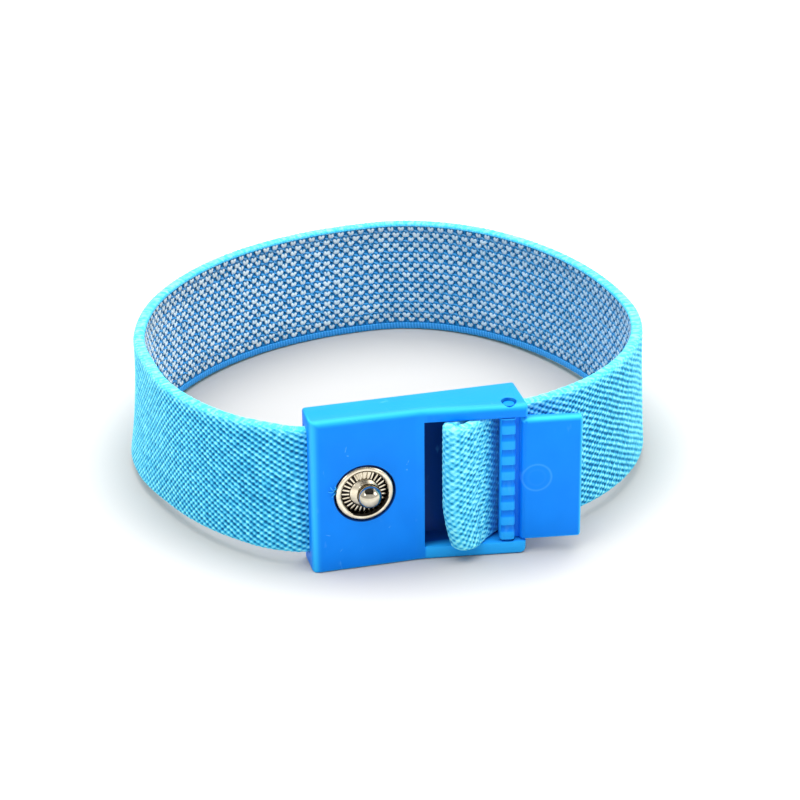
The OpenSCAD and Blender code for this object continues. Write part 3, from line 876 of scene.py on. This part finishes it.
def knitHeight(run, up):
    # two slanting families of ribs; where both are low there is a dark hole
    r = alongTurns * (run + 0.22 * wander(run, up) + weave["turnedOver"] * within("turning", run))
    u = acrossTurns * (up + 0.16 * wander(run, up, 1.7))
    falling, rising = np.cos(r - 2 * u), np.cos(2 * r + 2 * u)
    # level rows, closer together, where the free end comes out beside the barrel
    level = np.cos(0.35 * r - 2.7 * u)
    falling = falling + weave["levelRows"] * within("besideBarrel", run) * (level - falling)
    uneven = 0.5 * np.cos(r + 0.6) + 0.5 * np.cos(u + 1.1)
    # stitches differ a little from one to the next
    loose = (np.sin(2.3 * r + 7 * wander(run * 1.7, up * 1.9, 0.9))
             * np.sin(1.7 * u + 6 * wander(run * 1.5, up * 2.1, 2.3)))
    mix = (shareOf("falling", run) * falling + shareOf("rising", run) * rising
           + weave["uneven"] * uneven + shareOf("broken", run) * np.cos(r + u + 0.4)
           + shareOf("loose", run) * loose) / weave["whole"]
    hollow = 1 - np.clip(0.5 + 0.5 * mix, 0, 1)
    # darker beside the pocket, and painted shade under the barrel
    height = (1 - hollow ** shareOf("crisp", run)) * shareOf("light", run)
    height = height * (1 - weave["shade"] * within("underBarrel", run))
    for stretch, share, flat in weave["flatter"]:
        height = height + share * within(stretch, run) * (flat - height)
    return height


def bandSection():
    # round the band: outward, up, normal outward, normal up, share of weave, share of edge
    half, wide, corner, inner = band["thick"] / 2, band["wide"], band["corner"], band["innerCorner"]

    def topEdge():
        # outer corner, nearly flat edge, inner corner; the weave reaches over the outer corner
        for centre, r, angles in ((half - corner, corner, np.linspace(0, 90, 7)[1:]),
                                  (-half + inner, inner, np.linspace(90, 180, 7))):
            for angle in angles:
                c, s = math.cos(math.radians(angle)), math.sin(math.radians(angle))
                out = centre + r * c
                bulge = band["bulge"] * (1 - (out / half) ** 2) * s
                yield out, wide - r + r * s + bulge, c, s, 0, fadeBetween(angle, 10, 80)
    top = list(topEdge())
    low, high = band["plainLow"], wide - band["plainHigh"]
    rows = [(half, up, 1, 0, 1, 0) for up in np.linspace(corner, wide - corner, band["rows"])] + top
    # down the wrist side: a plain edge, the face under the lining, and the lower plain edge
    rows += [(-half + lift, up, -1, 0, 0, 1) for lift, up in (
        (0, (wide - inner + high) / 2), (0, high + 0.02), (0.02, high))]
    rows += [(band["underLining"], up, -1, 0, 0, 0)
             for up in np.linspace(high - 0.06, low + 0.06, 6)]
    rows += [(-half + lift, up, -1, 0, 0, 1) for lift, up in (
        (0.02, low), (0, low - 0.12), (0, (low + corner) / 2 + 0.15), (0, corner + 0.2))]
    rows += [(o, wide - u, c, -s, 0, e) for o, u, c, s, _, e in reversed(top)]
    return np.array(rows)


section = bandSection()


def layBand(run, column):
    out, up, no, nu, woven, edge = section[column].T
    wide, wristSide = band["wide"], no < -0.99
    # the weave turns over the outer corners into the edge, with the hooks of its turning yarns;
    # the free end keeps its weave all round
    edge = edge * (1 - 0.9 * within("climbed", run) * (no > -0.5))
    turns = 2 * run / band["along"] + 0.5 * up + 0.22 * wander(run, up)
    hooks = 0.5 + 0.5 * np.cos(2 * math.pi * turns)
    outer = np.clip(no, 0, 1)
    knitted = knitHeight(run, up + 0.8 * (1 - outer) * np.sign(nu))
    # the pattern flattens towards the top edge, less so towards the bottom one, and is painted
    # paler there as painted light from above
    brink = fadeBetween(np.abs(up - wide / 2), wide / 2 - band["brink"], wide / 2 - 0.2)
    knitted = knitted + brink * np.where(up > wide / 2, 0.55, 0.25) * (0.88 - knitted)
    hem = (weave["hemTone"] - weave["hookDark"] * hooks ** 2 * (0.45 + 0.55 * outer)
           + 0.10 * wander(run * 4, up * 5 + out * 6, 0.4))
    hem = hem + weave["hemKnit"] * (knitted - hem)
    height = knitted + edge * (hem - knitted)
    height = np.where((woven < 0.5) & (edge < 0.01) & wristSide, weave["hidden"], height)
    hemDepth = (0.02 + weave["hookDeep"] * hooks * (0.3 + 0.7 * outer)
                - 0.06 * wander(run * 11, out * 4, 5.0))
    depth = band["relief"] * (1 - knitted) * (1 - 0.6 * edge) + edge * hemDepth
    depth = np.where(wristSide, 0, depth)
    out, up = out - no * depth, up - nu * depth
    # the wrist side of the lower edge is deeper in colour, that of the upper edge only half so
    deeper = np.clip(-2 * no - 0.9, 0, 1) * edge * np.where(up > wide / 2, 0.5, 1.0)
    # painted shade on the band behind the barrel
    behind = weave["shadeBehindBarrel"] * within("underBarrel", run) * (1 - 0.55 * knitted)
    # a soft random swell so that the faces are not ruled
    swell = weave["swell"] * wander(run * 0.6, up * 0.8, 3.1) * (woven > 0.5)
    return out + swell, up, {"height": height, "edge": edge, "inner": np.maximum(deeper, behind)}


splits = [-loop["fixedEnd"] + 0.01, 36.0, 84.0, 132.0, 180.0, runEnd]
for name, start, end in zip(("bandFront", "bandLeft", "bandBack", "bandRight", "bandTail"),
                            splits, splits[1:]):
    rings = round((end - start) / band["step"])
    piece = wovenTube(name, start, end, rings, len(section), knit, layBand)
    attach(piece, "strap")
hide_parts("elastic_band")


lining = {"low": 1.30, "high": 19.5, "faceOut": -0.68, "backOut": -0.30, "relief": 0.06,
          "step": 0.3, "rows": 72, "backRows": 8, "yarnOut": 0.73,
          # the yarns that show in one repeat: thickness, faces round each, and then each one's
          # run, up, half length, half width and slant
          "silverUpper": (0.20, 8, [(-0.26, 0.02, 0.51, 0.33, 112), (0.28, 0.0, 0.51, 0.33, 62)]),
          "silverLower": (0.20, 8, [(0.62, -0.79, 0.46, 0.30, 114), (1.12, -0.81, 0.46, 0.30, 60)]),
          "blueLoops": (0.16, 6, [(-0.02, 0.72, 0.60, 0.19, -18), (0.86, 0.28, 0.50, 0.15, -30),
                                  (0.78, 0.62, 0.42, 0.14, 28)]),
          # squareness of a yarn along, across and out, 1 being an egg's
          "square": (0.72, 0.72, 0.6),
          # the first repeat's place, and how much sizes, places and rows vary at random
          "first": (0.9, 0.85), "looseSize": 0.06, "looseShift": (0.035, 0.025), "wobble": 0.08,
          # colours of the painted shade on the yarns towards the end that the buckle pulls through
          "shadedEnd": [(0.2, (0.006, 0.12, 0.30)), (0.9, (0.10, 0.45, 0.80))]}


def liningFabric(name, stops, roughness, specular, grey=None):
    material, wires = newMaterial(name, Roughness=roughness, Specular_IOR_Level=specular)
    height, along, across = (wires.attribute(key) for key in ("height", "along", "across"))
    lie = wires.node("ShaderNodeCombineXYZ", {0: along * 2.5, 1: across * 14.0 + along * 3.0})
    filament = lie.noise(1.0, 3.0)
    tone = height + (filament - 0.5) * 0.55
    # the colour runs from painted shade where a yarn is low to a painted highlight where it is high
    colour = tone.ramp(*stops)
    if grey:
        # towards both edges the blue thins out and the metal yarn greys
        patchy = lie.noise(0.13, 2.0)
        share = ((abs(across - band["wide"] / 2) - 5.2) * 0.20 + (patchy - 0.5) * 1.4).clamped()
        dull = (tone * 1.1).ramp((0.2, tuple(0.25 * c for c in grey)), (0.8, grey))
        colour = (share * 0.6).blend(colour, dull)
        # painted shade on the silver towards the end that the buckle pulls through
        shadedEnd = along.between(88.0, 153.0) * 0.5 * (0.7 + patchy * 0.6)
        colour = shadedEnd.blend(colour, tone.ramp(*lining["shadedEnd"]))
    feed(material, Base_Color=colour, Roughness=filament * 0.25 + (roughness - 0.1),
         Normal=filament.bump(0.6, 0.00005))
    return material


liningBase = liningFabric("liningGround", (
    (0.1, (0.004, 0.07, 0.19)), (0.45, (0.025, 0.29, 0.66)), (0.9, (0.09, 0.50, 0.95))), 0.85, 0.1)
liningLoop = liningFabric("liningLoops", (
    (0.2, (0.008, 0.16, 0.48)), (0.55, (0.035, 0.36, 0.88)), (0.95, (0.14, 0.56, 1.0))), 0.8, 0.2,
    grey=(0.20, 0.28, 0.35))
silver = liningFabric("silverYarn", (
    (0.12, (0.02, 0.13, 0.26)), (0.32, (0.20, 0.43, 0.60)), (0.58, (0.50, 0.72, 0.86)),
    (0.84, (0.86, 0.98, 1.0))), 0.5, 0.4, grey=(0.60, 0.63, 0.63))


def layLining(run, column):
    low, high, backRows = lining["low"], lining["high"], lining["backRows"]
    wristRows = lining["rows"] - backRows
    onWrist = column < wristRows
    up = np.where(onWrist, low + (high - low) * column / (wristRows - 1),
                  high - (high - low) * (column - wristRows) / (backRows - 1))
    r, u = alongTurns * run, acrossTurns * up
    level = 0.42 + 0.3 * np.cos(r) * np.cos(u) + 0.3 * np.cos(2 * r + u)
    out = np.where(onWrist, lining["faceOut"] - lining["relief"] * level, lining["backOut"])
    return out, up, {"height": level}


def floatRows(name, material):
    thick, around, ovals = lining[name]
    bm = bmesh.new()
    for run, up, longer, shorter, slant in ovals:
        shape = (Matrix.Translation((run, up, lining["yarnOut"]))
                 @ Matrix.Rotation(math.radians(slant), 4, "Z")
                 @ Matrix.Diagonal((longer, shorter, thick, 1)))
        made = bmesh.ops.create_uvsphere(bm, u_segments=around, v_segments=4, radius=1.0)["verts"]
        # squarer and flatter than an egg, as a yarn pressed between its neighbours
        for vert in made:
            vert.co = [math.copysign(abs(n) ** power, n)
                       for n, power in zip(vert.co, lining["square"])]
        bmesh.ops.transform(bm, matrix=shape, verts=made)
    mesh = toMesh(bm, name)
    perOval = len(mesh.vertices) // len(ovals)
    unit = bpy.data.objects.new(name, mesh)
    scene.collection.objects.link(unit)
    for shift, count in (((band["along"], 0, 0), int((runEnd - 1.0) / band["along"])),
                         ((0, band["across"], 0), 11)):
        array = unit.modifiers.new("repeat", "ARRAY")
        array.use_relative_offset = False
        array.use_constant_offset = True
        array.constant_offset_displace = shift
        array.count = count
    mesh = applied(unit)
    # no two yarns are quite the same size or quite in line
    flat = getPlaces(mesh).reshape(-1, perOval, 3)
    middle = flat.mean(axis=1, keepdims=True)
    spread = flat - middle
    loose = rng.normal(0, 1, (len(flat), 4))
    spread[..., :2] *= 1 + lining["looseSize"] * loose[:, None, :2]
    middle[:, 0, :2] += loose[:, 2:] * lining["looseShift"] + lining["first"]
    middle[:, 0, 1] += lining["wobble"] * wander(middle[:, 0, 0], middle[:, 0, 1])
    low, high = lining["low"], lining["high"]
    kept = np.repeat((middle[:, 0, 1] > low + 0.15) & (middle[:, 0, 1] < high + 0.1), perOval)
    flat = middle + spread
    run, across = flat[..., 0], np.clip(flat[..., 1], low + 0.02, high - 0.02)
    # the yarn's ends dive under its neighbours, so they are painted darker there as painted shade,
    # and its crown paler as a painted highlight
    crown = np.clip(spread[..., 2] / thick, 0, 1)
    ends = np.abs(spread[..., 0]) / np.abs(spread[..., 0]).max(axis=1, keepdims=True)
    height = np.clip(0.22 + 0.70 * crown - 0.30 * ends ** 3 + 0.09 * loose[:, None, 0], 0, 1)
    setPlaces(mesh, wrap(run.ravel(), -flat[..., 2].ravel(), across.ravel()))
    setAttributes(mesh, height=height, along=run, across=across)
    bm = toBmesh(mesh)
    bmesh.ops.delete(bm, geom=[v for v, keep in zip(bm.verts, kept) if not keep], context="VERTS")
    uv = bm.loops.layers.uv.new("OFBake")
    alongLayer, acrossLayer = (bm.verts.layers.float[key] for key in ("along", "across"))
    for corner in (corner for face in bm.faces for corner in face.loops):
        corner[uv].uv = (corner.vert[alongLayer] / (runEnd + 2),
                         corner.vert[acrossLayer] / (band["wide"] + 0.5))
    return fromBmesh(bm, name, material, 0)


wholeRun = runEnd + loop["fixedEnd"]
ground = wovenTube("liningGround", -loop["fixedEnd"] + 0.02, runEnd - 0.02,
                   int(wholeRun / lining["step"]), lining["rows"], liningBase, layLining)
floats = [floatRows(name, material) for name, material in
          (("silverUpper", silver), ("silverLower", silver), ("blueLoops", liningLoop))]
for piece in (ground, *floats):
    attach(piece, "strap")
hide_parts("conductive_lining")
print("lining:", len(floats[0].data.polygons), "faces in one silver row set")


snap = {"face": 5.5, "foot": 3.1, "rimOut": 4.3, "rimWide": 0.95, "rimProud": 0.15,
        # the channel between the rim and the flutes: radius, outward
        "channel": [(3.37, 4.85), (3.36, 4.66)],
        "flutes": 28, "fluteIn": 2.21, "fluteOut": 3.33, "fluteHigh": 5.22, "fluteLow": 4.98,
        "fluteWide": 0.27, "fluteDeep": 0.32, "fluteRound": 0.06, "fluteSunk": 0.17, "slot": 0.25,
        # how far the painted shade reaches up the rim, and from what height the grooves are left
        # unshaded
        "shadeWide": 0.27, "unshadedAbove": 0.93,
        # the stud's shoulder and neck under its head: radius, outward
        "shoulder": [(2.18, 3.1), (2.18, 5.20), (2.12, 5.30), (1.88, 5.40), (1.75, 5.52),
                     (1.53, 5.62), (1.45, 5.75)],
        "head": 1.78, "headLong": 1.66, "headMid": 6.80, "polishedFrom": 5.76, "core": 0.6,
        # the head was riveted a little off the middle: along, up
        "leans": (0.36, 0.22)}


def wornMetal(name, light, dark, roughness, uneven=0.12, brushed=False):
    # darker where it turns away, by its tint
    material, wires = newMaterial(name, Metallic=1.0, Specular_Tint=(0.2, 0.18, 0.15, 1))
    spot = wires.objectPlace()
    cloud = spot.noise(900.0, 4.0)
    lines = spot.stretched((9000.0, 9000.0, 500.0)).noise(1.0, 2.0)
    feed(material, Base_Color=cloud.ramp((0.3, dark), (0.65, light)),
         Roughness=cloud * uneven + lines * (0.2 if brushed else 0.05) + roughness,
         Normal=(lines + cloud * 0.5).bump(0.35 if brushed else 0.12, 0.00001))
    return material


nickel = wornMetal("warmNickel", (0.62, 0.58, 0.48), (0.44, 0.40, 0.32), 0.0, uneven=0.07)
creamNickel = wornMetal("creamNickel", (0.84, 0.77, 0.62), (0.56, 0.49, 0.37), 0.17)
# painted shade for the collar's grooves and the low side of its rim
nickelShade = wornMetal("paintedShadeInGrooves", (0.04, 0.035, 0.03), (0.01, 0.008, 0.006), 0.3)
steelPlate = wornMetal("brushedPlate", (0.64, 0.64, 0.63), (0.56, 0.56, 0.55), 0.24, brushed=True)


def lathe(points):
    # (radius, outward) outline turned about the stud's axis
    bm = bmesh.new()
    for r, outward in points:
        bm.verts.new(plan(buckle["studAlong"] + r, outward, midUp))
    spinRow(bm, plan(buckle["studAlong"], 0, midUp), (0, 1, 0))
    bmesh.ops.recalc_face_normals(bm, faces=bm.faces)
    return bm


def fluteBars():
    # one flute, a slim rounded bar up the sloping ring, then the rest by turning it
    s, along = snap, buckle["studAlong"]
    run = Vector((s["fluteOut"] - s["fluteIn"], s["fluteLow"] - s["fluteHigh"]))
    bar = bmesh.new()
    bmesh.ops.create_cube(bar, size=1.0)
    bmesh.ops.scale(bar, vec=Vector((run.length, s["fluteWide"], s["fluteDeep"])) * mm,
                    verts=bar.verts)
    long = [e for e in bar.edges if abs((e.verts[0].co - e.verts[1].co).x) > 1e-4
            and e.verts[0].co.z > 0]
    bmesh.ops.bevel(bar, geom=long, offset=s["fluteRound"] * mm, segments=2, profile=0.5,
                    affect="EDGES", material=-1)
    middle = plan(along + (s["fluteIn"] + s["fluteOut"]) / 2,
                  (s["fluteLow"] + s["fluteHigh"]) / 2 - s["fluteSunk"], midUp)
    # bar's own z is outward (towards -Y), its x runs away from the axis
    stand = Matrix(((1, 0, 0, 0), (0, 0, -1, 0), (0, 1, 0, 0), (0, 0, 0, 1)))
    tilt = Matrix.Rotation(math.atan2(-run.y, run.x), 4, "Y")
    bmesh.ops.transform(bar, matrix=Matrix.Translation(middle) @ stand @ tilt, verts=bar.verts)
    bmesh.ops.spin(bar, geom=bar.verts[:] + bar.edges[:] + bar.faces[:], cent=plan(along, 0, midUp),
                   axis=(0, 1, 0), angle=math.radians(360), steps=s["flutes"], use_duplicate=True)
    bmesh.ops.remove_doubles(bar, verts=bar.verts, dist=1e-7)
    return bar


def makeCollar():
    s = snap
    r, inner = s["rimWide"] / 2, s["rimOut"] - s["rimWide"]
    mid = s["face"] + s["rimProud"] - r
    rim = [(s["rimOut"] - r + r * math.cos(t), mid + r * math.sin(t))
           for t in np.linspace(0, math.pi, 17)]
    bm = lathe([(s["rimOut"], s["foot"]), *rim, *s["channel"],
                (s["fluteOut"], s["fluteLow"] - s["slot"]),
                (s["fluteIn"], s["fluteHigh"] - s["slot"]),
                (s["fluteIn"], s["foot"]), (s["rimOut"], s["foot"])])
    bm.from_mesh(toMesh(fluteBars(), "flutes"))
    piece = fromBmesh(bm, "collarShell", creamNickel, 40)
    piece.data.materials.append(nickelShade)
    for polygon in piece.data.polygons:
        along, outward, up = unplan(polygon.center)
        aside, above = along - buckle["studAlong"], up - midUp
        away = max(math.hypot(aside, above), 0.01)
        share = (away - s["fluteIn"]) / (s["fluteOut"] - s["fluteIn"])
        crest = s["fluteHigh"] + share * (s["fluteLow"] - s["fluteHigh"]) - 0.10
        beyond = away > s["fluteOut"] + 0.02 and outward < s["face"] - 0.15
        # painted shade on the low side of the rim's inner wall and in the grooves, but not in the
        # grooves at the top
        lowSide = clamp(((0.40 * aside - 0.92 * above) / away - 0.25) / 0.5)
        shadedRim = (lowSide > 0 and outward > mid
                 and inner - 0.02 < away < inner + 0.06 + s["shadeWide"] * lowSide)
        shadedGroove = (s["fluteIn"] < away < inner + 0.06 and (beyond or outward < crest)
                 and above < s["unshadedAbove"] * away)
        if shadedRim or shadedGroove:
            polygon.material_index = 1
    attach(piece, "strap")
    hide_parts("fluted_collar")


def makeStud():
    s = snap
    ball = [(s["head"] * math.cos(t), s["headMid"] + s["headLong"] * math.sin(t))
            for t in np.linspace(math.radians(-33), math.pi / 2, 20)]
    ball[-1] = (0.0, ball[-1][1])     # closed on the axis
    bm = lathe([(s["core"], s["foot"]), *s["shoulder"], *ball,
                (0.0, s["foot"]), (s["core"], s["foot"])])
    for vert in bm.verts:
        share = clamp((unplan(vert.co)[1] - s["face"]) / 0.3)
        vert.co.x += s["leans"][0] * share * mm
        vert.co.z += s["leans"][1] * share * mm
    piece = fromBmesh(bm, "studShell", nickel, 40)
    # the post's foot is duller than the polished head
    piece.data.materials.append(creamNickel)
    for polygon in piece.data.polygons:
        if unplan(polygon.center)[1] < s["polishedFrom"]:
            polygon.material_index = 1
    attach(piece, "strap")
    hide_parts("snap_stud")


threads = {"radius": 0.055, "sides": 6,
           # ends of yarn caught between the collar and the buckle: along, outward, up of each bend
           "paths": [[(3.75, 5.0, 13.6), (3.35, 5.55, 13.45), (3.0, 5.85, 13.6), (2.7, 5.7, 14.0)],
                     [(3.7, 5.0, 13.2), (3.3, 5.6, 13.25), (2.85, 5.8, 13.15), (2.4, 5.62, 13.3)],
                     [(3.7, 5.0, 12.9), (3.35, 5.65, 12.8), (3.05, 5.75, 12.55), (2.9, 5.6, 12.3)],
                     [(3.72, 5.0, 13.4), (3.4, 5.7, 13.5), (3.5, 5.95, 13.8), (3.35, 5.85, 14.1)]]}


def strayThreads():
    threadBlue = liningFabric("threadEnds", (
        (0.1, (0.05, 0.45, 0.85)), (0.8, (0.25, 0.80, 1.0))), 0.7, 0.2)
    bm = bmesh.new()

    def edgesOf(*rings):
        return [e for e in bm.edges if any(set(e.verts) <= set(ring) for ring in rings)]
    for path in threads["paths"]:
        points = [plan(*point) for point in path]
        rings = []
        for i, point in enumerate(points):
            ahead = points[min(i + 1, len(points) - 1)] - points[max(i - 1, 0)]
            turn = ahead.to_track_quat("Z", "Y").to_matrix().to_4x4()
            rings.append(bmesh.ops.create_circle(
                bm, segments=threads["sides"], radius=threads["radius"] * mm,
                matrix=Matrix.Translation(point) @ turn)["verts"])
        for a, b in zip(rings, rings[1:]):
            bmesh.ops.bridge_loops(bm, edges=edgesOf(a, b))
        for end in (rings[0], rings[-1]):
            bmesh.ops.contextual_create(bm, geom=edgesOf(end))
    piece = fromBmesh(bm, "strayThreads", threadBlue, 0)
    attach(piece, "strap")


makeCollar()
makeStud()
strayThreads()
for node in ("post_cap", "skin_plate"):
    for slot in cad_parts[node].material_slots:
        slot.material = steelPlate
print("snap parts")

scene.view_settings.view_transform = "Standard"
